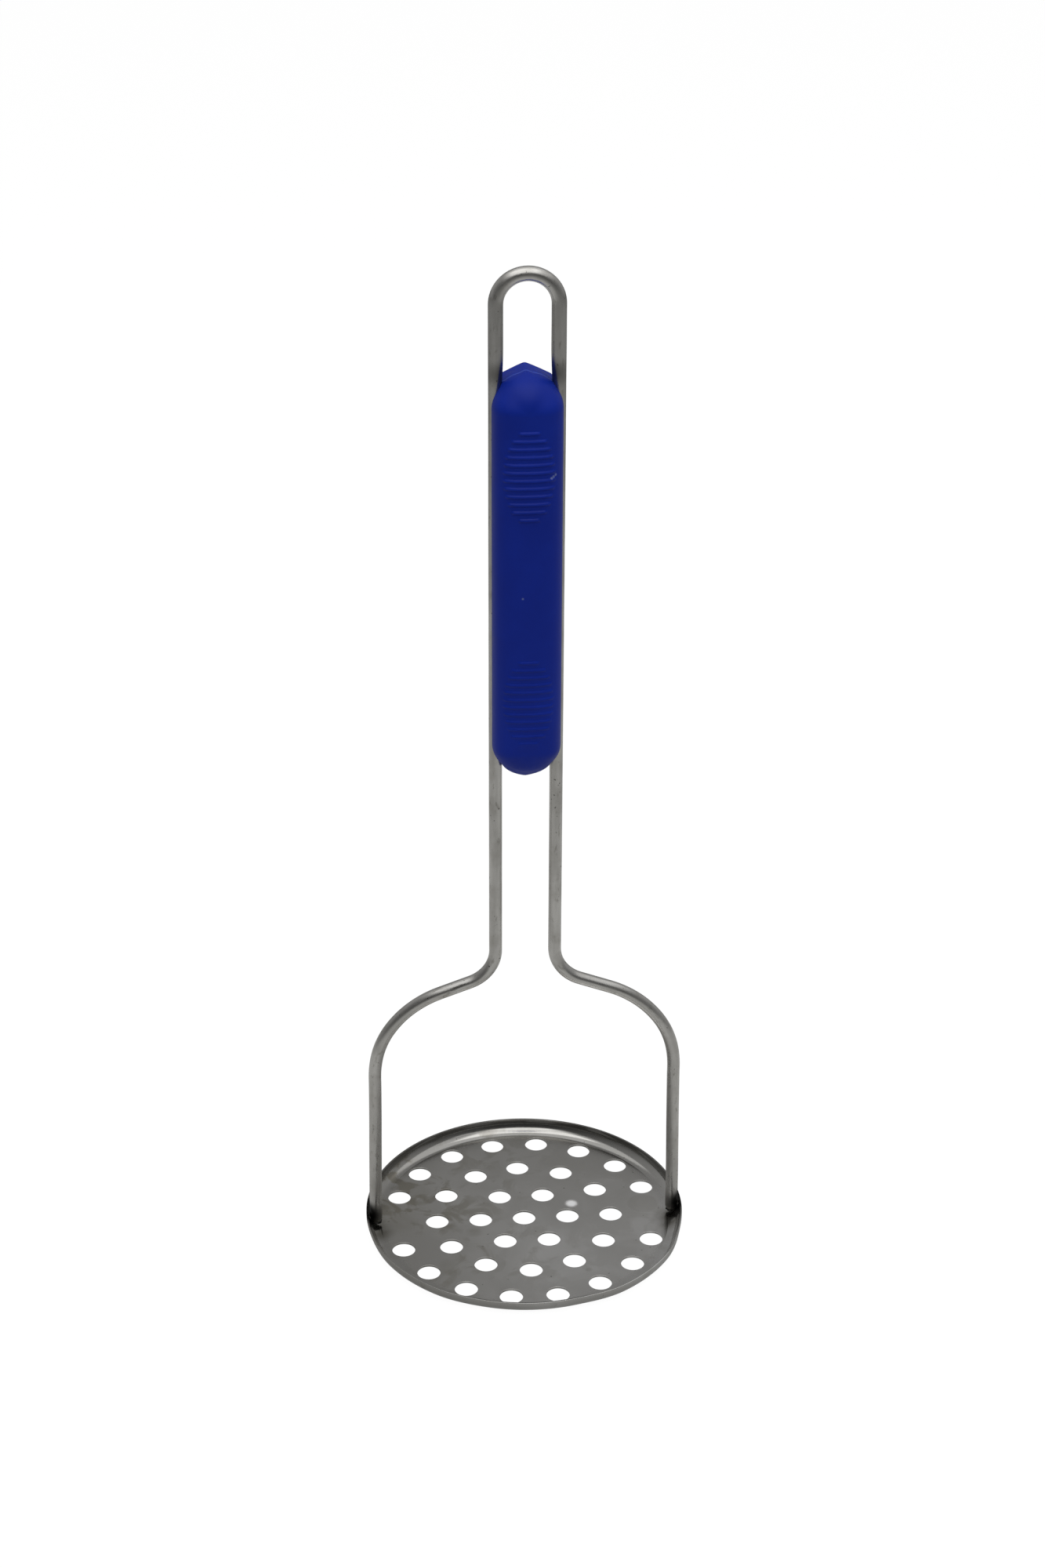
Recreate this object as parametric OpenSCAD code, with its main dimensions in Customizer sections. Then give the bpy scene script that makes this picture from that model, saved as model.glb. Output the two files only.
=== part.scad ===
// Potato masher: a bent wire frame, a perforated disc and a two-shell grip.
// Millimetres. Z runs up the handle, X across the frame, and the grip's front faces -Y.
// The origin is the centre of the disc's flat underside.

/* [Wire frame] */
// Diameter of the round wire
wire_d = 4; // [3.5:0.1:4.5]
// Height from the disc's underside to the top of the hanging loop
frame_h = 321.4; // [305:0.1:340]
// Distance between the centres of the two handle runs
handle_span = 18.2; // [17:0.1:18.2]
// Height at which the handle runs start to bend outward
neck_z = 101.4; // [98:0.1:110]
// Bend radius of the necks, at the wire's centre
neck_r = 12; // [11:0.5:12]
// Bend radius of the shoulders, at the wire's centre
shoulder_r = 33; // [32:0.5:33]
// Length of the straight slope between neck and shoulder
slope_len = 10; // [9.5:0.1:10]
// Height of the wire's cut ends above the disc's underside
foot_z = 2.3; // [2.3:0.1:2.6]

/* [Disc] */
// Outer diameter of the upturned rim
disc_d = 101.4; // [101.4:0.1:102.4]
// Thickness of the sheet
sheet_t = 0.6; // [0.5:0.05:0.6]
// Height of the rim above the underside
rim_h = 5; // [4.6:0.1:6]
// Inner radius of the bend between floor and rim
rim_bend_r = 3.4; // [3:0.1:3.4]
// Diameter of the punched holes
hole_d = 7.3; // [5:0.1:8]
// Distance from one ring of holes to the next
hole_pitch = 14; // [12:0.5:14]
// Number of rings of holes around the central one
hole_rings = 3; // [1:1:3]

/* [Grip] */
// Width of the grip
grip_w = 20.5; // [20:0.1:21]
// Depth of each shell, from the parting plane to the crown
shell_depth = 9.5; // [8:0.1:11]
// Height of the grip's lower end
grip_bottom = 163.7; // [155:0.1:164]
// Height of the grip's upper end
grip_top = 290.2; // [288:0.1:293]
// Squareness of the shell's cross-section: 2 is an ellipse, 4 is nearly a box
grip_squareness = 3; // [2.2:0.1:4]
// Thickness of the shell over its pocket
shell_wall = 2.2; // [1.6:0.1:3]
// Clearance between wire and groove, on the radius
groove_gap = 0.05; // [0.02:0.01:0.2]
// Raised ribs in each grip patch
rib_count = 12; // [6:1:12]
// Distance from one rib to the next
rib_pitch = 2.4; // [2:0.05:2.45]
// Width of the longest rib
rib_span = 15; // [10:0.5:16]

/* [Hidden] */
$fn = 96;
steel = [0.50, 0.51, 0.49];
blue = [0.06, 0.10, 0.55];

wire_r = wire_d / 2;
handle_x = handle_span / 2;
// The slope falls 44 for every 117 across and is then 125 long. This whole-number triangle
// puts both ends of each bend on round numbers.
fall_sin = 44 / 125;
fall_cos = 117 / 125;
bend_turn = atan2(117, 44);
shoulder_run = shoulder_r * (1 - fall_sin);
neck_run = neck_r * (1 - fall_sin);
leg_x = handle_x + neck_run + slope_len * fall_cos + shoulder_run;
shoulder_z = neck_z - (neck_r + shoulder_r) * fall_cos - slope_len * fall_sin;
loop_z = frame_h - wire_r - handle_x;

disc_r = disc_d / 2;
wall_r = disc_r - sheet_t;
bend_centre_r = wall_r - rim_bend_r;
bend_centre_z = sheet_t + rim_bend_r;
bend_steps = 8;
lip_r = sheet_t / 2;
punch_over = 1;

weld_r = 1.5;
weld_bottom = 3;
weld_top = 4.4;

grip_r = grip_w / 2;
grip_spring_bottom = grip_bottom + grip_r;
grip_spring_top = grip_top - grip_r;
section_steps = 9;
groove_r = wire_r + groove_gap;
nib_half_w = 2.2;
nib_h = 0.6;
nib_depth = 6;
pocket_w = 10;
pocket_end = 5.2;
web_t = 1.6;
web_z = [186, 208, 230, 252, 274];
peg_z = [197, 227, 257];
boss_d = 7;
peg_d = 3.8;
peg_len = 4;
socket_d = 4;
socket_len = 5;
patch_z = [190.4, 262];
rib_t = 0.9;
rib_rise = 0.35;

module wire_arc(r, turn) {
    rotate_extrude(angle = turn)
        translate([r, 0])
            circle(r = wire_r, $fn = 48);
}

// A bend in the XZ plane about the centre [x, z]: from upright, at angle a0, round to the slope.
module slope_bend(x, z, r, a0) {
    translate([x, 0, z])
        rotate([90, 0, 0])
            rotate([0, 0, a0])
                intersection() {
                    wire_arc(r, 90);
                    rotate([0, 0, bend_turn])
                        translate([0, -4 * r, -2 * r])
                            cube(4 * r);
                }
}

module wire_side() {
    translate([leg_x, 0, foot_z])
        cylinder(r = wire_r, h = shoulder_z - foot_z);
    slope_bend(leg_x - shoulder_r, shoulder_z, shoulder_r, 0);
    translate([leg_x - shoulder_run, 0, shoulder_z + shoulder_r * fall_cos])
        rotate([0, -bend_turn, 0])
            cylinder(r = wire_r, h = slope_len);
    slope_bend(handle_x + neck_r, neck_z, neck_r, 180);
    translate([handle_x, 0, neck_z])
        cylinder(r = wire_r, h = loop_z - neck_z);
}

module wire_frame() {
    color(steel) {
        wire_side();
        mirror([1, 0, 0])
            wire_side();
        translate([0, 0, loop_z])
            rotate([90, 0, 0])
                wire_arc(handle_x, 180);
    }
}

// Points of a quarter bend of radius r about the rim's bend centre, from angle a0 to a1.
function bend_points(r, a0, a1) = [
    for (i = [0:bend_steps])
        let (a = a0 + (a1 - a0) * i / bend_steps)
            [bend_centre_r + r * cos(a), bend_centre_z + r * sin(a)]
];

// Points round the rim's lip, from its outer side to its inner side.
function lip_points() = [
    for (i = [1:bend_steps - 1])
        let (a = 180 * i / bend_steps)
            [disc_r - lip_r + lip_r * cos(a), rim_h - lip_r + lip_r * sin(a)]
];

// Half section of the disc: flat floor, bend, low wall and a rounded lip.
module disc_shell() {
    rotate_extrude($fn = 180)
        polygon(concat(
            [[0, sheet_t], [0, 0]],
            bend_points(rim_bend_r + sheet_t, -90, 0),
            [[disc_r, rim_h - lip_r]],
            lip_points(),
            [[wall_r, rim_h - lip_r]],
            bend_points(rim_bend_r, 0, -90)
        ));
}

module punch() {
    translate([0, 0, -punch_over])
        cylinder(d = hole_d, h = sheet_t + 2 * punch_over, $fn = 48);
}

// Ring number n holds 6n places. The outermost ring leaves out the two places beside the legs.
module punched_holes() {
    punch();
    for (ring = [1:hole_rings])
        for (i = [0:6 * ring - 1])
            if (ring < 3 || i % 9 != 0)
                rotate([0, 0, i * 60 / ring])
                    translate([ring * hole_pitch, 0, 0])
                        punch();
}

module masher_disc() {
    color(steel)
        difference() {
            disc_shell();
            punched_holes();
        }
}

// A nugget fills the gap between the wire and the inside of the rim.
module weld_nugget() {
    difference() {
        translate([leg_x + wire_r, 0, weld_bottom])
            cylinder(r = weld_r, h = weld_top - weld_bottom, $fn = 32);
        translate([leg_x, 0, 0])
            cylinder(r = wire_r, h = 2 * rim_h);
        rotate_extrude($fn = 180)
            polygon(concat(
                [[wall_r, 2 * rim_h]],
                bend_points(rim_bend_r, 0, -90),
                [[bend_centre_r, -punch_over], [disc_d, -punch_over], [disc_d, 2 * rim_h]]
            ));
    }
}

module leg_welds() {
    color(steel) {
        weld_nugget();
        mirror([1, 0, 0])
            weld_nugget();
    }
}

// Half cross-section of a shell, from the crown's middle to the side: [across, depth].
function section_points(grow = 0) = [
    for (i = [0:section_steps])
        let (a = 90 * i / section_steps)
            [
                (grip_r + grow) * pow(sin(a), 2 / grip_squareness),
                (shell_depth + grow) * pow(cos(a), 2 / grip_squareness)
            ]
];

module half_section(grow = 0) {
    polygon(concat([[0, 0]], section_points(grow)));
}

// The straight stretch of a shell's outside, from z0 to z1, crown towards -Y.
module shell_prism(z0, z1, grow = 0) {
    translate([0, 0, z0])
        linear_extrude(height = z1 - z0)
            mirror([0, 1]) {
                half_section(grow);
                mirror([1, 0])
                    half_section(grow);
            }
}

// A rounded end, turned about the Y axis, with its half circle towards +Z.
module shell_end() {
    rotate([90, 0, 0])
        rotate_extrude(angle = 180)
            half_section();
}

// The small point in the middle of each end.
module end_nib() {
    rotate([90, 0, 0])
        linear_extrude(height = nib_depth)
            polygon([[-nib_half_w, grip_r - nib_h], [nib_half_w, grip_r - nib_h], [0, grip_r + nib_h]]);
}

module shell_outside() {
    shell_prism(grip_spring_bottom, grip_spring_top);
    translate([0, 0, grip_spring_top]) {
        shell_end();
        end_nib();
    }
    translate([0, 0, grip_spring_bottom])
        mirror([0, 0, 1]) {
            shell_end();
            end_nib();
        }
}

// One rib: a slice of the shell grown outward, as wide as the oval patch is at that height.
module rib(z, half_w) {
    intersection() {
        shell_prism(z - rib_t / 2, z + rib_t / 2, rib_rise);
        translate([-half_w, -2 * shell_depth, z - rib_t])
            cube([2 * half_w, 1.5 * shell_depth, 2 * rib_t]);
    }
}

module rib_patch(z_mid) {
    half_h = rib_count * rib_pitch / 2;
    for (i = [0:rib_count - 1]) {
        up = (i - (rib_count - 1) / 2) * rib_pitch;
        rib(z_mid + up, rib_span / 2 * sqrt(1 - pow(up / half_h, 2)));
    }
}

module shell_pocket() {
    pocket_r = pocket_w / 2;
    pocket_bottom = grip_bottom + pocket_end + pocket_r;
    pocket_top = grip_top - pocket_end - pocket_r;
    pocket_depth = shell_depth - shell_wall;
    difference() {
        rotate([90, 0, 0])
            linear_extrude(height = pocket_depth) {
                translate([0, pocket_bottom])
                    circle(r = pocket_r);
                translate([0, pocket_top])
                    circle(r = pocket_r);
                translate([-pocket_r, pocket_bottom])
                    square([pocket_w, pocket_top - pocket_bottom]);
            }
        for (z = web_z)
            translate([-pocket_w, -shell_depth, z - web_t / 2])
                cube([2 * pocket_w, shell_depth, web_t]);
        for (z = peg_z)
            translate([0, 0, z])
                rotate([90, 0, 0])
                    cylinder(d = boss_d, h = shell_depth, $fn = 48);
    }
}

module wire_grooves() {
    for (x = [-handle_x, handle_x])
        translate([x, 0, grip_bottom - grip_r])
            cylinder(r = groove_r, h = grip_top - grip_bottom + grip_w, $fn = 48);
}

module half_shell() {
    difference() {
        union() {
            shell_outside();
            for (z = patch_z)
                rib_patch(z);
        }
        shell_pocket();
        wire_grooves();
    }
}

module grip_front() {
    color(blue) {
        half_shell();
        for (z = peg_z)
            translate([0, 0, z])
                rotate([-90, 0, 0])
                    cylinder(d = peg_d, h = peg_len, $fn = 48);
    }
}

module grip_back() {
    color(blue)
        difference() {
            mirror([0, 1, 0])
                half_shell();
            for (z = peg_z)
                translate([0, 0, z])
                    rotate([-90, 0, 0])
                        translate([0, 0, -punch_over])
                            cylinder(d = socket_d, h = socket_len + punch_over, $fn = 48);
        }
}

wire_frame();
masher_disc();
leg_welds();
grip_front();
grip_back();
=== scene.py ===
"""Potato masher: the visual model, in metres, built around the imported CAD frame.

X runs across the wire frame, Z up the handle, and the grip's front faces -Y.
"""

import math
from collections import namedtuple

import bpy
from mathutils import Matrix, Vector, noise
from mathutils.geometry import delaunay_2d_cdt


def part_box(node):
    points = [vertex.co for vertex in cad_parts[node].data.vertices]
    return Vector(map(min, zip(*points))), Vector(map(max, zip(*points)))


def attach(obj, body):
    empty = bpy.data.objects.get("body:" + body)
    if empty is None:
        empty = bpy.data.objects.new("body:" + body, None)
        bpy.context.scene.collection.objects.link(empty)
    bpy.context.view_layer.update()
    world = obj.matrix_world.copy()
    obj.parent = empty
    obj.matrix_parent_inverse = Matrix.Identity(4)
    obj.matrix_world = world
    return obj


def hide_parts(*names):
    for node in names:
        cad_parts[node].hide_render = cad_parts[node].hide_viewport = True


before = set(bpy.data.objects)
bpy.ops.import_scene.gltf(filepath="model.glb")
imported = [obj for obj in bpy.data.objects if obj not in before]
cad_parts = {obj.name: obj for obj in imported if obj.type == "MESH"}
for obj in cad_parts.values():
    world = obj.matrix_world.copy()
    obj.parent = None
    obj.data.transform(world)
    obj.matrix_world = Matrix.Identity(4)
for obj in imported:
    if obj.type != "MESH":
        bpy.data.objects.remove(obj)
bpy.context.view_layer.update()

MM = 0.001
TAU = 2 * math.pi
SIDES = (-1, 1)

# Sizes repeated from the CAD source, in millimetres. FALL_SIN and FALL_COS give the slope of the
# straight stretch between neck and shoulder.
WIRE_R = 2.0
HANDLE_X = 9.1
NECK_Z = 101.4
NECK_R = 12.0
SHOULDER_R = 33.0
SLOPE_LEN = 10.0
FALL_SIN = 44 / 125
FALL_COS = 117 / 125
SHEET_T = 0.6
RIM_BEND_R = 3.4
HOLE_R = 3.65
HOLE_PITCH = 14.0
HOLE_RINGS = 3
GRIP_R = 10.25
SHELL_DEPTH = 9.5
SQUARENESS = 3.0
GROOVE_GAP = 0.05
RIB_COUNT = 12
RIB_PITCH = 2.4
RIB_SPAN = 15.0
RIB_T = 0.9
PATCH_Z = (190.4, 262.0)
NIB_H = 0.6
POCKET_W = 10.0
POCKET_END = 5.2
POCKET_DEPTH = 7.3
WEB_T = 1.6
WEB_Z = (186.0, 208.0, 230.0, 252.0, 274.0)

# Places read from the frame, in millimetres.
wire_low, wire_high = [[c / MM for c in corner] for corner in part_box("wire_frame")]
disc_low, disc_high = [[c / MM for c in corner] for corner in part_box("masher_disc")]
grip_low, grip_high = [[c / MM for c in corner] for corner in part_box("grip_front")]
LEG_X = wire_high[0] - WIRE_R
FOOT_Z = wire_low[2]
LOOP_Z = wire_high[2] - WIRE_R - HANDLE_X
DISC_R = disc_high[1]
RIM_H = disc_high[2]
WALL_R = DISC_R - SHEET_T
FLOOR_R = WALL_R - RIM_BEND_R
GRIP_BOTTOM = grip_low[2] + NIB_H
GRIP_TOP = grip_high[2] - NIB_H
SPRING_BOTTOM = GRIP_BOTTOM + GRIP_R
SPRING_TOP = GRIP_TOP - GRIP_R

# ---------------------------------------------------------------- camera

# In metres and degrees, as found from the holes' places in the photo.
CAMERA_PLACE = (-0.0724, -0.8783, 0.6287)
CAMERA_TURN = (61.935, -0.161, -4.564)
LENS_MM = 76.5
SENSOR_MM = 36

camera_data = bpy.data.cameras.new("camera")
camera_data.lens = LENS_MM
camera_data.sensor_width = SENSOR_MM
camera = bpy.data.objects.new("camera", camera_data)
camera.location = CAMERA_PLACE
camera.rotation_euler = [math.radians(a) for a in CAMERA_TURN]
bpy.context.scene.collection.objects.link(camera)
bpy.context.scene.camera = camera


# ---------------------------------------------------------------- helpers

SHARP_ANGLE = 35


def smoothstep(low, high, value):
    """0 below low, 1 above high, and a smooth rise between them."""
    t = min(1.0, max(0.0, (value - low) / (high - low)))
    return t * t * (3 - 2 * t)


def mesh_object(name, points, faces, sharp_angle=SHARP_ANGLE):
    """A mesh object shaded smooth between its sharp edges; points are in millimetres."""
    mesh = bpy.data.meshes.new(name)
    mesh.from_pydata([[c * MM for c in p] for p in points], [], faces)
    mesh.validate()
    mesh.shade_smooth()
    mesh.set_sharp_from_angle(angle=math.radians(sharp_angle))
    piece = bpy.data.objects.new(name, mesh)
    bpy.context.scene.collection.objects.link(piece)
    return piece


def stand_for(piece, node, material):
    """Puts a piece in the place of a CAD node, with its material."""
    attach(piece, "root")
    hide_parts(node)
    piece.data.materials.clear()
    piece.data.materials.append(material)


def bridge(first, second, closed=True):
    """Quads between two rings, or two open rows, of equally many vertex numbers."""
    count = len(first)
    last = count if closed else count - 1
    return [
        (first[i], first[(i + 1) % count], second[(i + 1) % count], second[i])
        for i in range(last)
    ]


# ---------------------------------------------------------------- materials


class Tree:
    """A short way to write a node tree."""

    def __init__(self, tree):
        self.tree = tree

    def add(self, kind, **settings):
        node = self.tree.nodes.new(kind)
        for key, value in settings.items():
            setattr(node, key, value)
        return node

    def feed(self, socket, value):
        if isinstance(value, bpy.types.NodeSocket):
            self.tree.links.new(value, socket)
        else:
            socket.default_value = value

    def math(self, operation, a, b=0.0):
        node = self.add("ShaderNodeMath", operation=operation)
        self.feed(node.inputs[0], a)
        self.feed(node.inputs[1], b)
        return node.outputs[0]

    def plus(self, a, b):
        return self.math("ADD", a, b)

    def times(self, a, b):
        return self.math("MULTIPLY", a, b)

    def remap(self, value, from_low, from_high, to_low=0.0, to_high=1.0):
        """A smooth change from to_low to to_high as the value goes from from_low to from_high."""
        node = self.add("ShaderNodeMapRange", interpolation_type="SMOOTHSTEP")
        for socket, number in zip(node.inputs, (value, from_low, from_high, to_low, to_high)):
            self.feed(socket, number)
        return node.outputs[0]

    def length(self, vector):
        node = self.add("ShaderNodeVectorMath", operation="LENGTH")
        self.feed(node.inputs[0], vector)
        return node.outputs["Value"]

    def part(self, vector, name):
        """The X, Y or Z of a vector."""
        node = self.add("ShaderNodeSeparateXYZ")
        self.feed(node.inputs[0], vector)
        return node.outputs[name]

    def camera_sees(self, seen, unseen, output):
        """The camera sees one shader; reflections and light on the object take the other."""
        node = self.add("ShaderNodeMixShader")
        self.feed(node.inputs[0], self.add("ShaderNodeLightPath").outputs["Is Camera Ray"])
        self.feed(node.inputs[1], unseen)
        self.feed(node.inputs[2], seen)
        self.feed(output.inputs["Surface"], node.outputs[0])


class Finish(Tree):
    """A material on one principled shader, marked out by places on the object in millimetres."""

    def __init__(self, name, metallic=0.0):
        self.material = bpy.data.materials.new(name)
        self.material.use_nodes = True
        super().__init__(self.material.node_tree)
        self.shader = self.tree.nodes["Principled BSDF"]
        self.shader.inputs["Metallic"].default_value = metallic
        self.place = self.add("ShaderNodeTexCoord").outputs["Object"]

    def attribute(self, name):
        return self.add("ShaderNodeAttribute", attribute_name=name).outputs["Vector"]

    def stretch(self, vector, scale):
        node = self.add("ShaderNodeMapping")
        self.feed(node.inputs["Vector"], vector)
        node.inputs["Scale"].default_value = scale
        return node.outputs["Vector"]

    def noise(self, vector, scale, detail=3.0, roughness=0.5, distortion=0.0):
        node = self.add("ShaderNodeTexNoise")
        self.feed(node.inputs["Vector"], vector)
        node.inputs["Scale"].default_value = scale
        node.inputs["Detail"].default_value = detail
        node.inputs["Roughness"].default_value = roughness
        node.inputs["Distortion"].default_value = distortion
        return node.outputs["Fac"]

    def mix(self, factor, a, b):
        node = self.add("ShaderNodeMix", data_type="RGBA")
        self.feed(node.inputs[0], factor)
        self.feed(node.inputs[6], a)
        self.feed(node.inputs[7], b)
        return node.outputs[2]

    def most(self, first, *others):
        """The largest of several values."""
        for other in others:
            first = self.math("MAXIMUM", first, other)
        return first

    def near(self, centre, low, high):
        """1 within low of a point, 0 beyond high."""
        node = self.add("ShaderNodeVectorMath", operation="DISTANCE")
        self.feed(node.inputs[0], self.place)
        node.inputs[1].default_value = [c * MM for c in centre]
        return self.remap(node.outputs["Value"], low * MM, high * MM, 1.0, 0.0)

    def feet(self, offset, low, high):
        """Marks both feet: offset is outward, back and up from a foot's centre."""
        out, back, up = offset
        return self.most(*[self.near((side * (LEG_X + out), back, up), low, high) for side in SIDES])

    def along(self, name, from_low, from_high, to_low=0.0, to_high=1.0):
        """A change along X, Y or Z between two places."""
        return self.remap(self.part(self.place, name), from_low * MM, from_high * MM, to_low, to_high)

    def bump(self, height, distance, strength=1.0, normal=None):
        node = self.add("ShaderNodeBump")
        self.feed(node.inputs["Height"], height)
        node.inputs["Distance"].default_value = distance
        node.inputs["Strength"].default_value = strength
        if normal is not None:
            self.feed(node.inputs["Normal"], normal)
        return node.outputs["Normal"]

    def done(self, colour, roughness, normal):
        self.feed(self.shader.inputs["Base Color"], colour)
        self.feed(self.shader.inputs["Roughness"], roughness)
        self.feed(self.shader.inputs["Normal"], normal)
        return self.material


def grey(value, warm=0.0):
    """A grey, a little yellow where warm is above 0."""
    return (value, value * (1 - 0.3 * warm), value * (1 - warm), 1)


# Near-black: heat scale at the welds, and painted shade in the gaps at the feet.
SCORCHED_AND_SHADED = grey(0.015, 0.1)


def wire_material():
    """Drawn wire: fine lines along it, dull patches, pits, feet darkened by heat tint and painted shade,
    and painted shade on its inner side at the grip's top.
    """
    f = Finish("wire_steel", metallic=1.0)
    unrolled = f.attribute("wire_space")
    lines = f.noise(f.stretch(unrolled, (1, 1, 0.02)), 1100, 3, 0.5)
    streaks = f.noise(f.stretch(unrolled, (1, 1, 0.12)), 420, 3, 0.55)
    patches = f.noise(unrolled, 130, 4, 0.6)
    grime = f.remap(f.noise(f.stretch(unrolled, (1, 1, 0.35)), 700, 3, 0.6), 0.58, 0.74)
    pits = f.remap(f.noise(unrolled, 900, 2, 0.5), 0.70, 0.77)
    # Heat tint and painted shade: the wire darker from 12 mm down to 3 mm, where the rim shades the legs.
    heat_tint_and_shade = f.times(f.along("Z", 3, 12, 1.0, 0.0), f.remap(patches, 0.2, 0.6, 0.65, 0.95))
    # Near-black on each foot's outer side against the rim: painted shade in the gap there, with heat
    # scale.
    scorch_and_shade = f.feet((WIRE_R + 0.6, -0.4, 5.6), 2.2, 5.6)
    # Painted shade on the wire's inner side at the grip's top, where the grip shades it.
    corners = f.most(*[f.near((side * (HANDLE_X - WIRE_R), 0, GRIP_TOP), 1.5, 6) for side in SIDES])

    colour = f.mix(f.remap(streaks, 0.30, 0.70), grey(0.50, 0.06), grey(0.64, 0.05))
    colour = f.mix(f.times(f.remap(patches, 0.45, 0.75), 0.45), colour, grey(0.38, 0.12))
    colour = f.mix(f.times(grime, 0.55), colour, grey(0.22, 0.18))
    colour = f.mix(f.times(pits, 0.8), colour, grey(0.07, 0.12))
    colour = f.mix(heat_tint_and_shade, colour, grey(0.15, 0.12))
    colour = f.mix(scorch_and_shade, colour, SCORCHED_AND_SHADED)
    colour = f.mix(f.times(corners, 0.8), colour, grey(0.06, 0.05))
    rough = f.plus(f.remap(patches, 0.3, 0.7, 0.24, 0.34), f.times(scorch_and_shade, 0.3))
    normal = f.bump(lines, 0.000004)
    normal = f.bump(f.times(f.plus(pits, grime), -1.0), 0.00002, 0.5, normal)
    return f.done(colour, rough, normal)


# Marks on the disc's face: place in millimetres, inner and outer radius, strength.
STAINS = (
    ((-16.5, -6.8), 1.0, 3.4, 0.55),
    ((-33.0, 17.0), 1.5, 6.0, 0.35),
    ((-36.0, 27.0), 0.5, 3.0, 0.40),
    ((-40.0, 1.0), 2.0, 9.0, 0.40),
    ((-26.0, -24.0), 1.0, 5.0, 0.30),
    ((-9.0, -41.0), 1.0, 5.0, 0.35),
    ((39.0, 4.9), 4.4, 5.6, 0.28),
    ((18.0, -29.5), 0.4, 1.6, 0.45),
)
# A white spot on the face, in millimetres: a painted glint, drawn as a matte pale deposit.
DEPOSIT_AND_GLINT = (15.9, 6.6)


def disc_material():
    """Pressed sheet: satin face with stains, specks and a painted glint, painted shade on the upper inner
    wall, and heat tint with painted shade before and beside the feet.
    """
    f = Finish("disc_steel")
    clouds = f.noise(f.place, 38, 5, 0.6, 0.6)
    blots = f.noise(f.place, 105, 4, 0.55, 0.9)
    grain = f.noise(f.place, 2600, 3, 0.6)
    brush = f.noise(f.stretch(f.place, (0.06, 1, 1)), 1900, 3, 0.6)
    specks = f.remap(f.noise(f.place, 700, 1, 0.5), 0.765, 0.80)
    stain = f.times(f.remap(blots, 0.47, 0.61), f.remap(clouds, 0.38, 0.58))
    stain = f.times(stain, f.along("X", -45, 20, 1.0, 0.2))
    for (x, y), low, high, strength in STAINS:
        mark = f.near((x, y, SHEET_T), low, high)
        mark = f.times(mark, f.remap(blots, 0.30, 0.60, 0.5 * strength, strength))
        stain = f.most(stain, mark)
    dull = f.most(f.along("X", -44, 10, 0.85, 0.0), f.along("Y", -20, 36, 0.0, 0.60))
    # Heat tint and painted shadow on the face just before each foot.
    heat_tint_and_shade = f.times(f.feet((0.6, -4.0, 1.5), 2.2, 8.0), f.remap(blots, 0.3, 0.6, 0.6, 1.0))
    reach = f.length(f.stretch(f.place, (1, 1, 0)))
    # Painted shade: the upper part of the rim's inner wall is darkened.
    wall_shade = f.remap(reach, (WALL_R + 0.15) * MM, (WALL_R + 0.40) * MM, 1.0, 0.0)
    wall_shade = f.times(wall_shade, f.along("Z", 2.0, 3.6))
    # Near-black on the rim beside each leg: painted shade in the gap between leg and rim, with heat
    # scale.
    scorch_and_shade = f.most(f.feet((3.7, -0.3, 4.5), 2.4, 5.8), f.feet((3.9, 5.0, 4.6), 3.0, 6.0))
    # Painted glint: a white spot, matte and not metallic.
    glint_and_deposit = f.near((*DEPOSIT_AND_GLINT, SHEET_T), 0.8, 2.6)
    field = f.near((0, 0, 0), 44.0, 46.5)

    colour = f.mix(f.remap(clouds, 0.30, 0.70), grey(0.52, 0.05), grey(0.62, 0.03))
    colour = f.mix(dull, colour, grey(0.38, 0.08))
    colour = f.mix(f.times(stain, 0.85), colour, grey(0.24, 0.22))
    colour = f.mix(f.times(specks, 0.6), colour, grey(0.12, 0.25))
    colour = f.mix(f.times(heat_tint_and_shade, 0.8), colour, grey(0.14, 0.25))
    colour = f.mix(f.times(wall_shade, 0.85), colour, grey(0.17, 0.08))
    colour = f.mix(scorch_and_shade, colour, SCORCHED_AND_SHADED)
    colour = f.mix(glint_and_deposit, colour, grey(0.92))
    rough = f.plus(f.remap(clouds, 0.3, 0.7, 0.15, 0.19), f.times(stain, 0.10))
    rough = f.plus(rough, f.times(field, 0.14))
    rough = f.plus(rough, f.times(f.plus(glint_and_deposit, scorch_and_shade), 0.4))
    f.feed(f.shader.inputs["Metallic"], f.remap(glint_and_deposit, 0.0, 1.0, 1.0, 0.1))
    return f.done(colour, rough, f.bump(f.plus(f.times(grain, 0.5), brush), 0.0000015))


def weld_material():
    """Fused metal, dark with heat scale; its near-black also serves as painted shade in the gaps under
    and beside each foot.
    """
    f = Finish("weld_steel", metallic=1.0)
    lumps = f.noise(f.place, 1400, 3, 0.6)
    colour = f.mix(f.remap(lumps, 0.35, 0.65), SCORCHED_AND_SHADED, grey(0.06, 0.10))
    return f.done(colour, f.remap(lumps, 0.3, 0.7, 0.35, 0.6), f.bump(lumps, 0.00006))


# On the grip's front: a pale slanted mark, a painted glint drawn as a scuff, as the places it runs
# through, and a speck.
SCUFF_GLINT = ((6.3, -8.7, 261.3), (6.9, -8.4, 261.7), (7.5, -8.0, 262.1))
SPECK = (-1.8, -9.5, 224.3)


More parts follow.
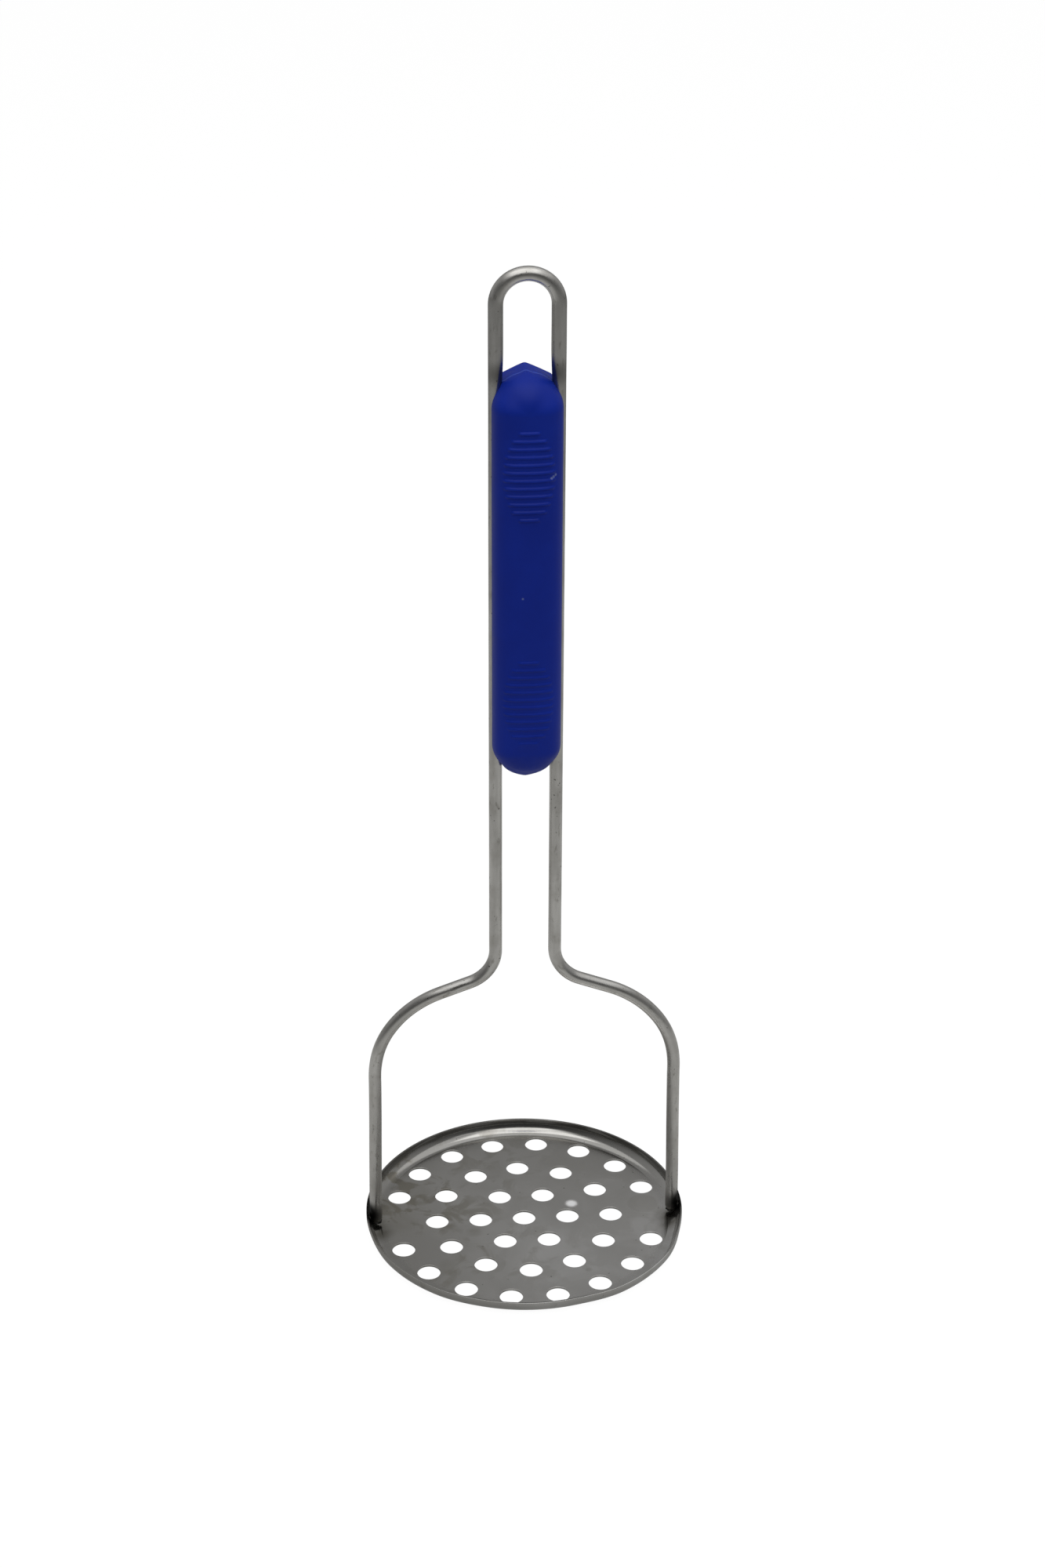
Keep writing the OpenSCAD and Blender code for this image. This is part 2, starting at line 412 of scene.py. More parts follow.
def grip_material():
    """Moulded polypropylene: semi-matte, with a fine spark-eroded grain, a few scuffs, a painted glint
    drawn as a scuff, and a painted highlight along the parting line.
    """
    f = Finish("grip_plastic")
    f.shader.inputs["IOR"].default_value = 1.49
    f.shader.inputs["Specular IOR Level"].default_value = 0.17
    clouds = f.noise(f.place, 45, 4, 0.6)
    grain = f.noise(f.place, 3200, 3, 0.6)
    scratches = f.noise(f.stretch(f.place, (1, 1, 0.12)), 1200, 3, 0.6)
    scuffs = f.times(f.remap(scratches, 0.66, 0.76), f.remap(clouds, 0.45, 0.60))
    from_parting = f.math("ABSOLUTE", f.part(f.place, "Y"))
    # Painted highlight: a lighter band along the shells' parting edge.
    parting_highlight = f.remap(from_parting, 0.2 * MM, 0.5 * MM, 1.0, 0.0)
    # The speck, and the painted glint drawn as a scuff.
    speck_and_scuff_glint = f.most(f.near(SPECK, 0.1, 0.5), *[f.near(place, 0.2, 0.6) for place in SCUFF_GLINT])

    colour = f.mix(f.remap(clouds, 0.3, 0.7), (0.004, 0.023, 0.325, 1), (0.005, 0.028, 0.375, 1))
    colour = f.mix(f.times(scuffs, 0.25), colour, (0.03, 0.07, 0.50, 1))
    colour = f.mix(f.times(parting_highlight, 0.6), colour, (0.08, 0.14, 0.60, 1))
    colour = f.mix(f.times(speck_and_scuff_glint, 0.7), colour, (0.20, 0.25, 0.50, 1))
    rough = f.plus(f.remap(clouds, 0.3, 0.7, 0.42, 0.52), f.times(scuffs, 0.15))
    return f.done(colour, rough, f.bump(grain, 0.000010))


# ---------------------------------------------------------------- wire frame

WIRE_SIDES = 48
WIRE_STEP = 0.8
END_CHAMFER = 0.35
# The legs lean inward by SPLAY between their feet and the shoulders. Round the hanging loop the
# wire's radius is larger by LOOP_GROWTH. The heights are where each change begins and ends.
SPLAY = 0.6
SPLAY_RISE = (2, 60)
SPLAY_FALL = (54, 74)
LOOP_GROWTH = 0.17
GROWTH_RISE = (284, 297)


def arc(cx, cz, radius, start, turn):
    """Centreline points of a bend in the XZ plane, the first one left out; angles in radians."""
    count = max(4, round(abs(turn) * radius / WIRE_STEP))
    angles = [start + turn * i / count for i in range(1, count + 1)]
    return [Vector((cx + radius * math.cos(a), 0, cz + radius * math.sin(a))) for a in angles]


def run(start, end):
    """Centreline points of a straight stretch, the first one left out."""
    count = max(1, round((end - start).length / WIRE_STEP))
    return [start.lerp(end, i / count) for i in range(1, count + 1)]


def splay(point):
    """The legs stand a little closer together at the shoulders than at their feet."""
    amount = SPLAY * smoothstep(*SPLAY_RISE, point.z) * (1 - smoothstep(*SPLAY_FALL, point.z))
    return point - Vector((math.copysign(amount, point.x), 0, 0))


def half_path():
    """The right half of the wire, from its foot to the top of the loop."""
    bend = math.atan2(FALL_COS, FALL_SIN)
    shoulder_z = NECK_Z - (NECK_R + SHOULDER_R) * FALL_COS - SLOPE_LEN * FALL_SIN
    path = [Vector((LEG_X, 0, FOOT_Z))]
    path += run(path[-1], Vector((LEG_X, 0, shoulder_z)))
    path += arc(LEG_X - SHOULDER_R, shoulder_z, SHOULDER_R, 0, bend)
    slope = Vector((-FALL_COS, 0, FALL_SIN)) * SLOPE_LEN
    path += run(path[-1], path[-1] + slope)
    path += arc(HANDLE_X + NECK_R, NECK_Z, NECK_R, math.pi + bend, -bend)
    path += run(path[-1], Vector((HANDLE_X, 0, LOOP_Z)))
    path += arc(0, LOOP_Z, HANDLE_X, 0, math.pi / 2)
    return path


def wire_radius(length, angle):
    """The wire's radius with faint drawing flats and dents."""
    around = Vector((math.cos(angle), math.sin(angle), length * 0.02))
    flats = noise.noise(around * 1.6)
    dents = noise.noise(Vector((math.cos(angle) * 1.2, math.sin(angle) * 1.2, length * 0.11)))
    return WIRE_R - 0.020 - 0.020 * flats - 0.018 * dents


def build_wire():
    """The bent wire, from foot to foot, as one closed tube.

    Where it is thicker, its middle moves inward as much, so the outside of the bend stays put.
    """
    right = half_path()
    left = [Vector((-p.x, 0, p.z)) for p in reversed(right[:-1])]
    path = [splay(p) for p in right + left]
    side = Vector((0, 1, 0))
    points, unrolled, rings = [], [], []
    length = 0.0
    for i, centre in enumerate(path):
        if i:
            length += (centre - path[i - 1]).length
        tangent = (path[min(i + 1, len(path) - 1)] - path[max(i - 1, 0)]).normalized()
        inward = tangent.cross(side)
        growth = LOOP_GROWTH * smoothstep(*GROWTH_RISE, centre.z)
        middle = centre + inward * growth
        ring = []
        for k in range(WIRE_SIDES):
            angle = TAU * k / WIRE_SIDES
            radius = wire_radius(length, angle) + growth
            if i in (0, len(path) - 1):
                radius -= END_CHAMFER
            offset = inward * math.cos(angle) + side * math.sin(angle)
            ring.append(len(points))
            points.append(middle + offset * radius)
            unrolled.append((WIRE_R * math.cos(angle), WIRE_R * math.sin(angle), length))
        rings.append(ring)
    faces = []
    for first, second in zip(rings, rings[1:]):
        faces += bridge(second, first)
    faces.append(tuple(rings[0]))
    faces.append(tuple(reversed(rings[-1])))
    piece = mesh_object("bent_wire", points, faces, 50)
    space = piece.data.attributes.new("wire_space", "FLOAT_VECTOR", "POINT")
    space.data.foreach_set("vector", [c * MM for p in unrolled for c in p])
    return piece


# ---------------------------------------------------------------- disc

DISC_SIDES = 240
HOLE_SIDES = 48
RIM_STEPS = 14
LIP_STEPS = 4
# The field's mesh between the holes: distance between points, and how far they stay off an edge.
GRID_STEP = 2.2
GRID_CLEARANCE = 0.9
# The field ends at FIELD_R, just past the start of the rim's inner bend.
FIELD_R = 46.35
FIELD_UNEVENNESS = 0.10
INNER_BEND_R = 3.9
LIP_ROUND = 0.09
WORN_LIP_ROUND = 0.28
# The lip wanders a little in and down, and it is lower in front.
LIP_INSET = 0.05
LIP_DROP = 0.06
FRONT_DROP = 0.5
# Hole edge, as distance outside the hole's radius and depth below the top face: rolled over
# by the punch above, then sheared straight.
PUNCHED_EDGE = ((0.10, 0.01), (0.04, 0.03), (0.01, 0.07), (0.0, 0.13), (0.0, 0.52), (0.03, 0.59))
EDGE_REACH = 0.20
# The rim is sprung outward a little in two places: direction in degrees, and how far. The degrees
# to each side are where a bulge starts to fade and where it ends.
BULGES = ((-45, 1.05), (-139, 0.50))
BULGE_SIDE = (12, 31)


def hole_centres():
    """Ring number n holds 6n places; the outermost leaves out the two beside the legs."""
    centres = [(0.0, 0.0)]
    for ring in range(1, HOLE_RINGS + 1):
        for i in range(6 * ring):
            if ring < HOLE_RINGS or i % (3 * ring):
                angle = TAU * i / (6 * ring)
                centres.append((ring * HOLE_PITCH * math.cos(angle), ring * HOLE_PITCH * math.sin(angle)))
    return centres


def circle(cx, cy, radius, count):
    """Evenly spaced points round a circle."""
    return [
        (cx + radius * math.cos(TAU * i / count), cy + radius * math.sin(TAU * i / count))
        for i in range(count)
    ]


def field_rise(x, y):
    """Height of the sheet's faint unevenness, and of the start of the rim's inner bend."""
    reach = math.hypot(x, y)
    height = 0.5 + 0.5 * noise.noise(Vector((x, y, 7.0)) * 0.055)
    into_bend = max(0.0, reach - (WALL_R - INNER_BEND_R))
    bend = INNER_BEND_R - math.sqrt(INNER_BEND_R ** 2 - into_bend ** 2)
    return bend + FIELD_UNEVENNESS * height * (1 - smoothstep(30, FIELD_R, reach))


def disc_field(centres):
    """Triangles of the field around the holes, with the loops of vertices that bound them."""
    edge_r = HOLE_R + EDGE_REACH
    points = [Vector(p) for p in circle(0, 0, FIELD_R, DISC_SIDES)]
    loops = [list(range(DISC_SIDES))]
    for cx, cy in centres:
        start = len(points)
        points += [Vector(p) for p in circle(cx, cy, edge_r, HOLE_SIDES)]
        loops.append(list(range(start, start + HOLE_SIDES)))
    edges = [(a, b) for loop in loops for a, b in zip(loop, loop[1:] + loop[:1])]
    row_step = GRID_STEP * math.sqrt(3) / 2
    rows = int(FIELD_R / row_step)
    for row in range(-rows, rows + 1):
        for column in range(-rows, rows + 1):
            x = (column + 0.5 * (row % 2)) * GRID_STEP
            y = row * row_step
            clear = all(math.hypot(x - cx, y - cy) > edge_r + GRID_CLEARANCE for cx, cy in centres)
            if clear and math.hypot(x, y) < FIELD_R - GRID_CLEARANCE:
                points.append(Vector((x, y)))
    verts, _, triangles, *_ = delaunay_2d_cdt(points, edges, [], 0, 1e-6)
    kept = []
    for triangle in triangles:
        x = sum(verts[v].x for v in triangle) / 3
        y = sum(verts[v].y for v in triangle) / 3
        if all(math.hypot(x - cx, y - cy) > edge_r - 0.02 for cx, cy in centres):
            kept.append(tuple(triangle))
    return verts, kept, loops


def rim_profile(lip_round):
    """Radius and height round the rim's section, from the top face of the field to the underside."""
    begin = -math.acos((FIELD_R - WALL_R + INNER_BEND_R) / INNER_BEND_R)
    end = -math.asin((SHEET_T + INNER_BEND_R - RIM_H + lip_round) / INNER_BEND_R)
    profile = []
    for i in range(1, RIM_STEPS + 1):
        a = begin + (end - begin) * i / RIM_STEPS
        radius = WALL_R - INNER_BEND_R * (1 - math.cos(a))
        profile.append((radius, SHEET_T + INNER_BEND_R * (1 + math.sin(a))))
    quarter = [math.pi / 2 * i / LIP_STEPS for i in range(LIP_STEPS + 1)]
    for a in quarter[1:]:
        profile.append((WALL_R + lip_round * (1 - math.cos(a)), RIM_H - lip_round * (1 - math.sin(a))))
    for a in quarter:
        profile.append((DISC_R - lip_round * (1 - math.sin(a)), RIM_H - lip_round * (1 - math.cos(a))))
    outer_r = RIM_BEND_R + SHEET_T
    for i in range(RIM_STEPS + 1):
        a = math.pi / 2 * i / RIM_STEPS
        profile.append((FLOOR_R + outer_r * math.cos(a), outer_r * (1 - math.sin(a))))
    return profile


def bulge(angle):
    """How far the rim stands outward at an angle round the disc, in radians."""
    total = 0.0
    for direction, amount in BULGES:
        off = abs(math.degrees(math.remainder(angle - math.radians(direction), TAU)))
        total += amount * (1 - smoothstep(*BULGE_SIDE, off))
    return total


def rim_point(angle, sheared, worn):
    """A point of the rim at an angle round the disc, between its sheared and its worn section."""
    out = bulge(angle)
    wear = min(1.0, out)
    radius, height = [a + (b - a) * wear for a, b in zip(sheared, worn)]
    turn = Vector((math.cos(angle) * 1.5, math.sin(angle) * 1.5, 3.0))
    up = smoothstep(0.5, RIM_H, height)
    inset = LIP_INSET * up * (0.5 + 0.5 * noise.noise(turn))
    drop = LIP_DROP * up * (0.5 + 0.5 * noise.noise(turn * 1.7))
    drop += FRONT_DROP * up * smoothstep(0.3, 1.0, -math.sin(angle))
    reach = radius - inset + out * smoothstep(FIELD_R, WALL_R, radius)
    x, y = [max(-DISC_R, min(DISC_R, c * reach)) for c in (math.cos(angle), math.sin(angle))]
    return (x, y, height - drop)


def build_disc():
    """The punched disc with its rim, as one closed sheet."""
    centres = hole_centres()
    verts, triangles, loops = disc_field(centres)
    count = len(verts)
    points = [(v.x, v.y, SHEET_T + field_rise(v.x, v.y)) for v in verts]
    points += [(v.x, v.y, field_rise(v.x, v.y)) for v in verts]
    faces = []
    for triangle in triangles:
        faces.append(tuple(reversed(triangle)))
        faces.append(tuple(v + count for v in triangle))
    for (cx, cy), loop in zip(centres, loops[1:]):
        previous = loop
        for reach, depth in PUNCHED_EDGE:
            ring = list(range(len(points), len(points) + HOLE_SIDES))
            for x, y in circle(cx, cy, HOLE_R + reach, HOLE_SIDES):
                points.append((x, y, SHEET_T - depth + field_rise(x, y)))
            faces += bridge(previous, ring)
            previous = ring
        faces += bridge(previous, [v + count for v in loop])
    previous = loops[0]
    for sheared, worn in zip(rim_profile(LIP_ROUND), rim_profile(WORN_LIP_ROUND)):
        ring = list(range(len(points), len(points) + DISC_SIDES))
        points += [rim_point(TAU * i / DISC_SIDES, sheared, worn) for i in range(DISC_SIDES)]
        faces += bridge(ring, previous)
        previous = ring
    faces += bridge([v + count for v in loops[0]], previous)
    return mesh_object("perforated_disc", points, faces, 40)


# ---------------------------------------------------------------- welds

LUMP_STACKS = 14
LUMP_SLICES = 24
LUMPINESS = 0.22
# Each bead: how far out from the leg's middle, back and up its centre is, and its reach each way.
WALL_BEAD = ((1.95, 0.0, 3.65), (0.62, 1.45, 0.72))
# The near-black burr also fills the gap under the foot, standing in for the shade there.
BURR = ((-0.1, -0.1, 2.0), (1.75, 1.7, 0.75))


def weld_lump(centre, reach, seed):
    """Points and faces of a closed lumpy bead."""
    points, faces, rings = [], [], []
    for i in range(1, LUMP_STACKS):
        polar = math.pi * i / LUMP_STACKS
        ring = []
        for x, y in circle(0, 0, math.sin(polar), LUMP_SLICES):
            way = Vector((x, y, math.cos(polar)))
            lump = 1 + LUMPINESS * noise.noise(way * 2.2 + Vector((seed, 0, 0)))
            ring.append(len(points))
            points.append(centre + way * reach * lump)
        rings.append(ring)
    for first, second in zip(rings, rings[1:]):
        faces += bridge(second, first)
    for ring, up in ((rings[0], 1), (list(reversed(rings[-1])), -1)):
        pole = len(points)
        points.append(centre + Vector((0, 0, reach.z * up)))
        faces += [(a, b, pole) for a, b in zip(ring, ring[1:] + ring[:1])]
    return points, faces


def build_weld(side):
    """The bead between the wire and the rim's inner wall, and the burr pressed out below the foot."""
    points, faces = [], []
    for (out, back, up), reach in (WALL_BEAD, BURR):
        start = len(points)
        centre = Vector((side * (LEG_X + out), back, up))
        new_points, new_faces = weld_lump(centre, Vector(reach), side * 5)
        points += new_points
        faces += [tuple(v + start for v in face) for face in new_faces]
    name = "weld_bead_right" if side > 0 else "weld_bead_left"
    return mesh_object(name, points, faces, 60)


# ---------------------------------------------------------------- grip

SECTION_COUNT = 96
END_COUNT = 72
PARTING_GAP = 0.02
EDGE_ROUND = 0.45
EDGE_INSET = 0.20
# How far the ribs stand out of the shell in each patch: the lower ones are worn.
PATCH_RISE = (0.27, 0.42)
# Mesh rows of the straight stretch: how many to a rib, and how far apart they are elsewhere.
ROWS_PER_RIB = 12
PLAIN_ROW_STEP = 1.5

# The ends of the shells: how square the dome is in depth, then the ridge in its middle: height,
# slope to each side, shift sideways, how far to each side it begins to fade, the depth it
# reaches, and the length over which it fades there.
End = namedtuple("End", "power ridge slope lean side depth fade")
TOP_FRONT = End(power=2.0, ridge=0.85, slope=0.50, lean=-0.03, side=5.5, depth=3.4, fade=3.4)
TOP_BACK = End(power=3.0, ridge=0.85, slope=0.50, lean=-0.03, side=7.0, depth=8.4, fade=2.4)
BOTTOM = End(power=2.0, ridge=0.50, slope=0.31, lean=-0.05, side=2.5, depth=6.0, fade=4.0)
# How far from the middle the ridge has faded out, and how round its tip is.
RIDGE_END = 9.6
RIDGE_ROUND = 0.05


def section():
    """The shell's section from edge to edge, evenly spaced: signed distance from the middle, depth."""
    half_steps = 1000
    power = 2 / SQUARENESS
    fine = [(-GRIP_R, 0.0)]
    for i in range(1 - half_steps, half_steps):
        a = math.pi / 2 * i / half_steps
        x = math.copysign(abs(math.sin(a)) ** power, a) * GRIP_R
        fine.append((x, math.cos(a) ** power * SHELL_DEPTH))
    fine.append((GRIP_R, 0.0))
    lengths = [0.0]
    for a, b in zip(fine, fine[1:]):
        lengths.append(lengths[-1] + math.dist(a, b))
    even, k = [], 0
    for i in range(SECTION_COUNT + 1):
        target = lengths[-1] * i / SECTION_COUNT
        while k < len(fine) - 2 and lengths[k + 1] < target:
            k += 1
        part = (target - lengths[k]) / (lengths[k + 1] - lengths[k])
        even.append(tuple(a + (b - a) * part for a, b in zip(fine[k], fine[k + 1])))
    return even


def edge_inset(depth):
    """How far the moulded edge is rounded back beside the parting plane."""
    return EDGE_INSET * max(0.0, 1 - depth / EDGE_ROUND) ** 2


def end_reach(x, depth, angle, end):
    """Distance from an end's centre to its surface, for a place on the shell's section."""
    rounder = GRIP_R * max(0.0, 1 - (depth / SHELL_DEPTH) ** end.power) ** (1 / end.power)
    dome = x + (rounder - x) * smoothstep(0.1, 0.9, math.sin(angle))
    aside = math.hypot(math.cos(angle) - end.lean, RIDGE_ROUND)
    ridge = (GRIP_R + end.ridge) / (math.sin(angle) + end.slope * aside)
    part = 1 - smoothstep(end.depth - end.fade, end.depth, depth)
    part *= 1 - smoothstep(end.side, RIDGE_END, abs(ridge * math.cos(angle)))
    return dome + max(0.0, ridge - dome) * part


def rib_rise(x, z):
    """Height of the ribs above the shell at a place on its straight stretch.

    A patch is an oval: its ribs are numbered from below, and each is as wide as the oval is there.
    """
    half_h = RIB_COUNT * RIB_PITCH / 2
    for middle, rise in zip(PATCH_Z, PATCH_RISE):
        place = (z - middle) / RIB_PITCH + (RIB_COUNT - 1) / 2
        nearest = round(place)
        if not 0 <= nearest < RIB_COUNT:
            continue
        up = (nearest - (RIB_COUNT - 1) / 2) * RIB_PITCH
        half_w = RIB_SPAN / 2 * math.sqrt(1 - (up / half_h) ** 2)
        off = abs(place - nearest) * RIB_PITCH
        crown = 1 - smoothstep(0.15, RIB_T * 0.75, off)
        ends = 1 - smoothstep(half_w - 0.5, half_w + 0.2, abs(x))
        return rise * crown * ends
    return 0.0


def shell_rows():
    """Heights of the straight stretch's rows, close together across the rib patches."""
    rows = [SPRING_BOTTOM]
    half_h = RIB_COUNT * RIB_PITCH / 2 + 0.4
    while rows[-1] < SPRING_TOP - 0.05:
        z = rows[-1]
        in_patch = any(abs(z + 0.1 - middle) < half_h for middle in PATCH_Z)
        rows.append(min(SPRING_TOP, z + (RIB_PITCH / ROWS_PER_RIB if in_patch else PLAIN_ROW_STEP)))
    return rows


def straight_rows(profile, facing, points):
    """Adds the shell's straight stretch to the points; returns its rows of vertex numbers."""
    rows = []
    for z in shell_rows():
        row = []
        for x, depth in profile:
            rise = rib_rise(x, z)
            x_out = x - math.copysign(edge_inset(depth), x)
            y = facing * (PARTING_GAP + depth + rise * depth / SHELL_DEPTH)
            row.append(len(points))
            points.append((x_out * (1 + 0.1 * rise / GRIP_R), y, z))
        rows.append(row)
    return rows


def end_spokes(profile, facing, points, edge_row, end, way):
    """Adds a domed end to the points; returns its spokes of vertex numbers, out from the pole."""
    spring = SPRING_TOP if way > 0 else SPRING_BOTTOM
    middle = SECTION_COUNT // 2
    spokes = [edge_row[middle + 1:]]
    for i in range(1, END_COUNT):
        angle = math.pi * i / END_COUNT
        spoke = []
        for x, depth in profile[middle + 1:]:
            reach = end_reach(x, depth, angle, end) - edge_inset(depth)
            y = facing * (PARTING_GAP + depth)
            spoke.append(len(points))
            points.append((reach * math.cos(angle), y, spring + way * reach * math.sin(angle)))
        spokes.append(spoke)
    spokes.append(list(reversed(edge_row[:middle])))
    return spokes


def build_shell(name, facing):
    """One moulded shell as a closed solid; facing is -1 for the front and 1 for the back."""
    profile = section()
    points, faces = [], []
    rows = straight_rows(profile, facing, points)
    for first, second in zip(rows, rows[1:]):
        faces += bridge(first, second, closed=False)
    rims = []
    top = TOP_FRONT if facing < 0 else TOP_BACK
    for end, way, edge_row in ((top, 1, rows[-1]), (BOTTOM, -1, rows[0])):
        pole = edge_row[SECTION_COUNT // 2]
        spokes = end_spokes(profile, facing, points, edge_row, end, way)
        for first, second in zip(spokes, spokes[1:]):
            patch = [(pole, first[0], second[0])]
            patch += [(first[k], first[k + 1], second[k + 1], second[k]) for k in range(len(first) - 1)]
            faces += patch if way > 0 else [tuple(reversed(face)) for face in patch]
        rims.append([spoke[-1] for spoke in spokes])
    outline = [row[-1] for row in rows[:-1]] + rims[0] + [row[0] for row in reversed(rows[1:-1])]
    outline += list(reversed(rims[1]))[:-1]
    faces.append(tuple(reversed(outline)))
    if facing > 0:
        faces = [tuple(reversed(face)) for face in faces]
    piece = mesh_object(name, points, faces)
    cut_inside(piece, facing)
    return piece


def prism(outline, y0, y1):
    """A closed prism along Y from an outline of (x, z) points."""
    count = len(outline)
    points = [(x, y0, z) for x, z in outline] + [(x, y1, z) for x, z in outline]
    first, second = list(range(count)), list(range(count, 2 * count))
    return points, bridge(first, second) + [tuple(reversed(first)), tuple(second)]


CUTTER_SIDES = 64
# How far the cutters stand out past what they cut.
GROOVE_OVERRUN = 8.0
POCKET_OVERRUN = 1.0


def pocket_outlines():
    """Outlines of the hollows between the webs, the first and last with round ends."""
    half = POCKET_W / 2
    bottom = GRIP_BOTTOM + POCKET_END
    top = GRIP_TOP - POCKET_END
    edges = [bottom] + [z + side * WEB_T / 2 for z in WEB_Z for side in SIDES] + [top]
    turns = [math.pi * i / 24 for i in range(25)]
    outlines = []
    for low, high in zip(edges[::2], edges[1::2]):
        lower = [(-half, low), (half, low)]
        upper = [(half, high), (-half, high)]
        if low == bottom:
            lower = [(-half * math.cos(a), low + half - half * math.sin(a)) for a in turns]
        if high == top:
            upper = [(half * math.cos(a), high - half + half * math.sin(a)) for a in turns]
        outlines.append(lower + upper)
    return outlines


def pocket_mesh(facing):
    """The pocket's hollows, as closed prisms to be cut from a shell."""
    points, faces = [], []
    y0, y1 = sorted((-facing * POCKET_OVERRUN, facing * POCKET_DEPTH))
    for outline in pocket_outlines():
        start = len(points)
        new_points, new_faces = prism(outline, y0, y1)
        points += new_points
        faces += [tuple(v + start for v in face) for face in new_faces]
    return points, faces


def groove_mesh():
    """Two upright cylinders, to be cut from a shell where the wire runs through it."""
    points, faces = [], []
    for x in (-HANDLE_X, HANDLE_X):
        start = len(points)
        for z in (GRIP_BOTTOM - GROOVE_OVERRUN, GRIP_TOP + GROOVE_OVERRUN):
            points += [(px, py, z) for px, py in circle(x, 0, WIRE_R + GROOVE_GAP, CUTTER_SIDES)]
        low = list(range(start, start + CUTTER_SIDES))
        high = [v + CUTTER_SIDES for v in low]
        faces += bridge(low, high) + [tuple(reversed(low)), tuple(high)]
    return points, faces


def cut_inside(piece, facing):
    """Cuts the grooves and the pocket, and leaves the plain result as the piece's mesh."""
    cutters = []
    for label, (points, faces) in (("pocket", pocket_mesh(facing)), ("grooves", groove_mesh())):
        cutter = mesh_object(f"{piece.name}_{label}", points, faces)
        cutters.append(cutter)
        modifier = piece.modifiers.new(label, "BOOLEAN")
        modifier.operation = "DIFFERENCE"
        modifier.solver = "EXACT"
        modifier.object = cutter
    bpy.context.view_layer.update()
    evaluated = piece.evaluated_get(bpy.context.evaluated_depsgraph_get())
    result = bpy.data.meshes.new_from_object(evaluated)
    piece.modifiers.clear()
    piece.data = result
    result.shade_smooth()
    result.set_sharp_from_angle(angle=math.radians(SHARP_ANGLE))
    for cutter in cutters:
        bpy.data.objects.remove(cutter, do_unlink=True)


# ---------------------------------------------------------------- studio

FLOOR_HALF = 6.0
# A hair under the object, so that the two faces never share a plane.
FLOOR_Z = -0.0002
PAPER = (0.96, 0.96, 0.96, 1)
PAPER_SHADE = (0.10, 0.10, 0.10, 1)
# Painted contact shadow and pool of light on the floor as the object reflects it: brightness by distance
# in metres from its middle.
FLOOR_SHADOW_AND_POOL = (
    (0.0, 0.22),
    (0.05, 0.27),
    (0.06, 0.38),
    (0.09, 0.50),
    (0.14, 0.47),
    (0.30, 0.47),
    (0.85, 0.20),
)
# Brightness of the room in reflections: in front, behind, and what each side adds.
ROOM_FRONT = 0.07
ROOM_BACK = 0.31
ROOM_SIDES = ((-0.95, 0.06), (0.95, 0.12))
# Two soft boxes that face straight down: name, place, size, power in watts.
SOFT_BOXES = (
    ("overhead", (-0.04, -0.68, 1.25), (1.22, 1.55), 6.6),
    ("overhead_wide", (0.25, -0.27, 1.30), (2.45, 2.35), 8.8),
)


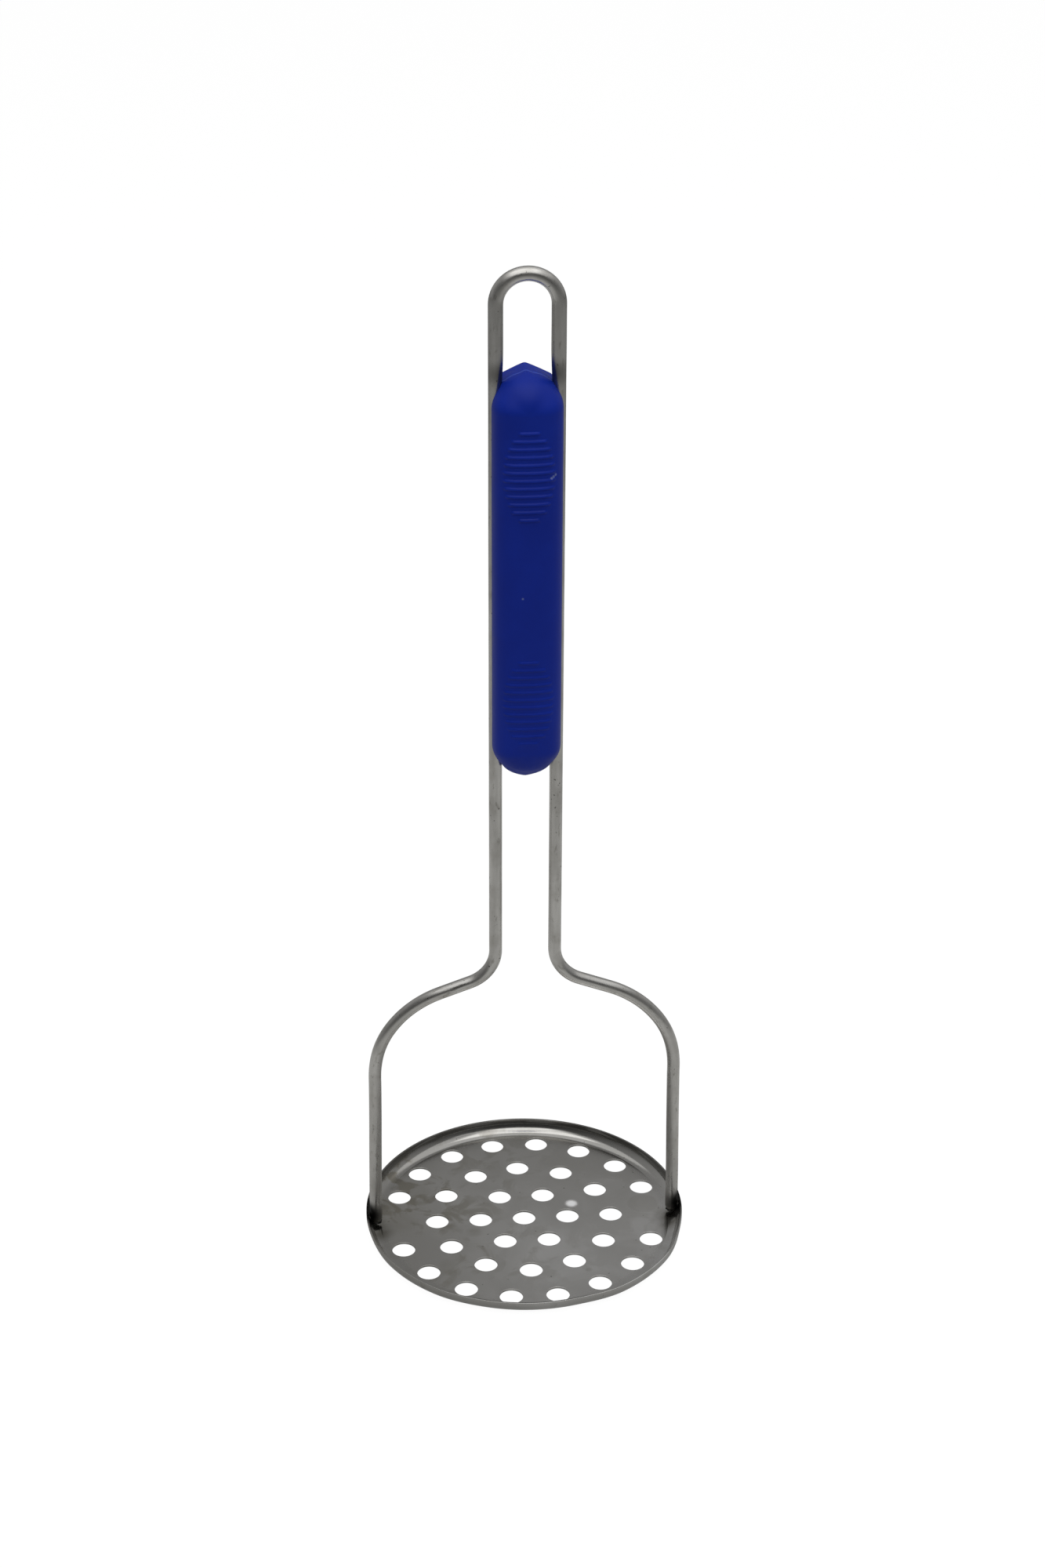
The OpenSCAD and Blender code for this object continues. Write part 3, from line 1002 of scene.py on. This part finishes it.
def build_floor():
    """Pale paper to the camera; in reflections a floor with a painted contact shadow close to the object
    and a painted pool of light further out.
    """
    corners = [(-FLOOR_HALF, -FLOOR_HALF, 0), (FLOOR_HALF, -FLOOR_HALF, 0)]
    corners += [(FLOOR_HALF, FLOOR_HALF, 0), (-FLOOR_HALF, FLOOR_HALF, 0)]
    mesh = bpy.data.meshes.new("floor")
    mesh.from_pydata(corners, [], [(0, 1, 2, 3)])
    floor = bpy.data.objects.new("floor", mesh)
    floor.location.z = FLOOR_Z
    bpy.context.scene.collection.objects.link(floor)
    material = bpy.data.materials.new("floor_paper")
    material.use_nodes = True
    material.node_tree.nodes.remove(material.node_tree.nodes["Principled BSDF"])
    t = Tree(material.node_tree)
    glow = t.add("ShaderNodeEmission")
    t.feed(glow.inputs["Color"], PAPER)
    paper = t.add("ShaderNodeBsdfDiffuse")
    t.feed(paper.inputs["Color"], PAPER_SHADE)
    seen = t.add("ShaderNodeAddShader")
    t.feed(seen.inputs[0], glow.outputs[0])
    t.feed(seen.inputs[1], paper.outputs[0])
    levels = t.add("ShaderNodeValToRGB")
    t.feed(levels.inputs[0], t.length(t.add("ShaderNodeTexCoord").outputs["Object"]))
    stops = levels.color_ramp.elements
    for distance, level in FLOOR_SHADOW_AND_POOL:
        stop = stops.new(distance) if distance else stops[0]
        stop.color = (level, level, level * 0.98, 1)
    stops[len(stops) - 1].color = stops[len(stops) - 2].color
    unseen = t.add("ShaderNodeEmission")
    t.feed(unseen.inputs["Color"], levels.outputs[0])
    t.camera_sees(seen.outputs[0], unseen.outputs[0], t.tree.nodes["Material Output"])
    mesh.materials.append(material)


def build_world():
    """A pale studio to the camera; in reflections dim in front, lighter behind and at the sides."""
    world = bpy.data.worlds.new("studio")
    bpy.context.scene.world = world
    world.use_nodes = True
    t = Tree(world.node_tree)
    way = t.add("ShaderNodeTexCoord").outputs["Generated"]
    total = t.remap(t.part(way, "Y"), -0.7, 0.6, ROOM_FRONT, ROOM_BACK)
    for far, level in ROOM_SIDES:
        total = t.plus(total, t.remap(t.part(way, "X"), far * 0.25, far, 0.0, level))
    unseen = t.tree.nodes["Background"]
    t.feed(unseen.inputs["Color"], total)
    seen = t.add("ShaderNodeBackground")
    t.feed(seen.inputs["Color"], (1, 1, 1, 1))
    t.camera_sees(seen.outputs[0], unseen.outputs[0], t.tree.nodes["World Output"])


def build_soft_box(name, place, size, power):
    data = bpy.data.lights.new(name, "AREA")
    data.shape = "RECTANGLE"
    data.size, data.size_y = size
    data.energy = power
    light = bpy.data.objects.new(name, data)
    light.location = place
    bpy.context.scene.collection.objects.link(light)


# ---------------------------------------------------------------- assembly

stand_for(build_wire(), "wire_frame", wire_material())
stand_for(build_disc(), "masher_disc", disc_material())
weld_finish = weld_material()
for weld_side in SIDES:
    stand_for(build_weld(weld_side), "leg_welds", weld_finish)
grip_finish = grip_material()
stand_for(build_shell("grip_shell_front", -1), "grip_front", grip_finish)
stand_for(build_shell("grip_shell_back", 1), "grip_back", grip_finish)

build_floor()
build_world()
for soft_box in SOFT_BOXES:
    build_soft_box(*soft_box)
bpy.context.scene.view_settings.view_transform = "Standard"
